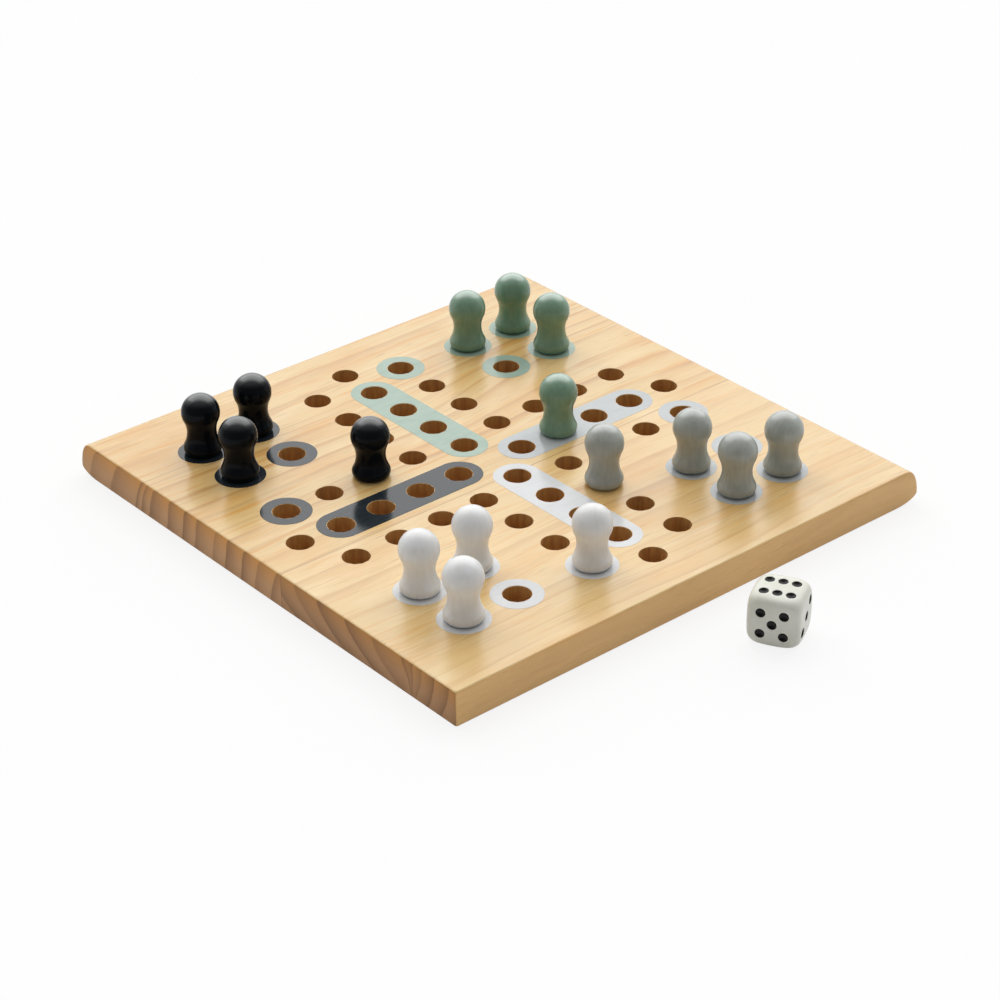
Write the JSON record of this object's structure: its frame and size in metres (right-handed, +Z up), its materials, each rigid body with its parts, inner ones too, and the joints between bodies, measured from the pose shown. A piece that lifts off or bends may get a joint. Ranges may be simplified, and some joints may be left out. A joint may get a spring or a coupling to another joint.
{
  "type": "pegged ludo board with pawns and die",
  "caption": "Square solid pine ludo board drilled with blind peg holes, with turned pawns standing in them and a rounded die beside it.",
  "frame": {"origin": "on the underside of the board, straight below the point where the four lanes cross", "axes": "+X along the grain of the planks, +Y across the grain from the plain long side towards the rounded one, +Z up through the board"},
  "size_m": [0.183, 0.2181, 0.0313],
  "materials": {
    "pine": "satin clear lacquer over straight-grained pine",
    "paint_black": "gloss black paint on turned wood",
    "paint_green": "satin sage green paint on turned wood",
    "paint_grey": "satin mid grey paint on turned wood",
    "paint_white": "satin white paint on turned wood",
    "die_plastic": "smooth off-white plastic with recessed black pips"
  },
  "bodies": {
    "board": {"plank_front": "pine", "plank_rear": "pine"},
    "pawn_black_1": {"pawn_black_1": "paint_black"},
    "pawn_black_2": {"pawn_black_2": "paint_black"},
    "pawn_black_3": {"pawn_black_3": "paint_black"},
    "pawn_black_4": {"pawn_black_4": "paint_black"},
    "pawn_green_1": {"pawn_green_1": "paint_green"},
    "pawn_green_2": {"pawn_green_2": "paint_green"},
    "pawn_green_3": {"pawn_green_3": "paint_green"},
    "pawn_green_4": {"pawn_green_4": "paint_green"},
    "pawn_grey_1": {"pawn_grey_1": "paint_grey"},
    "pawn_grey_2": {"pawn_grey_2": "paint_grey"},
    "pawn_grey_3": {"pawn_grey_3": "paint_grey"},
    "pawn_grey_4": {"pawn_grey_4": "paint_grey"},
    "pawn_white_1": {"pawn_white_1": "paint_white"},
    "pawn_white_2": {"pawn_white_2": "paint_white"},
    "pawn_white_3": {"pawn_white_3": "paint_white"},
    "pawn_white_4": {"pawn_white_4": "paint_white"},
    "die": {"die": "die_plastic"}
  },
  "joints": [
    {"name": "pawn_black_1_lift", "type": "slide", "parent": "board", "child": "pawn_black_1", "axis": [0, 0, 1], "range_m": [0, 0.014]},
    {"name": "pawn_black_2_lift", "type": "slide", "parent": "board", "child": "pawn_black_2", "axis": [0, 0, 1], "range_m": [0, 0.014]},
    {"name": "pawn_black_3_lift", "type": "slide", "parent": "board", "child": "pawn_black_3", "axis": [0, 0, 1], "range_m": [0, 0.014]},
    {"name": "pawn_black_4_lift", "type": "slide", "parent": "board", "child": "pawn_black_4", "axis": [0, 0, 1], "range_m": [0, 0.014]},
    {"name": "pawn_green_1_lift", "type": "slide", "parent": "board", "child": "pawn_green_1", "axis": [0, 0, 1], "range_m": [0, 0.014]},
    {"name": "pawn_green_2_lift", "type": "slide", "parent": "board", "child": "pawn_green_2", "axis": [0, 0, 1], "range_m": [0, 0.014]},
    {"name": "pawn_green_3_lift", "type": "slide", "parent": "board", "child": "pawn_green_3", "axis": [0, 0, 1], "range_m": [0, 0.014]},
    {"name": "pawn_green_4_lift", "type": "slide", "parent": "board", "child": "pawn_green_4", "axis": [0, 0, 1], "range_m": [0, 0.014]},
    {"name": "pawn_grey_1_lift", "type": "slide", "parent": "board", "child": "pawn_grey_1", "axis": [0, 0, 1], "range_m": [0, 0.014]},
    {"name": "pawn_grey_2_lift", "type": "slide", "parent": "board", "child": "pawn_grey_2", "axis": [0, 0, 1], "range_m": [0, 0.014]},
    {"name": "pawn_grey_3_lift", "type": "slide", "parent": "board", "child": "pawn_grey_3", "axis": [0, 0, 1], "range_m": [0, 0.014]},
    {"name": "pawn_grey_4_lift", "type": "slide", "parent": "board", "child": "pawn_grey_4", "axis": [0, 0, 1], "range_m": [0, 0.014]},
    {"name": "pawn_white_1_lift", "type": "slide", "parent": "board", "child": "pawn_white_1", "axis": [0, 0, 1], "range_m": [0, 0.014]},
    {"name": "pawn_white_2_lift", "type": "slide", "parent": "board", "child": "pawn_white_2", "axis": [0, 0, 1], "range_m": [0, 0.014]},
    {"name": "pawn_white_3_lift", "type": "slide", "parent": "board", "child": "pawn_white_3", "axis": [0, 0, 1], "range_m": [0, 0.014]},
    {"name": "pawn_white_4_lift", "type": "slide", "parent": "board", "child": "pawn_white_4", "axis": [0, 0, 1], "range_m": [0, 0.014]},
    {"name": "die_lift", "type": "slide", "parent": "board", "child": "die", "axis": [0, 0, 1], "range_m": [0, 0.03]}
  ]
}
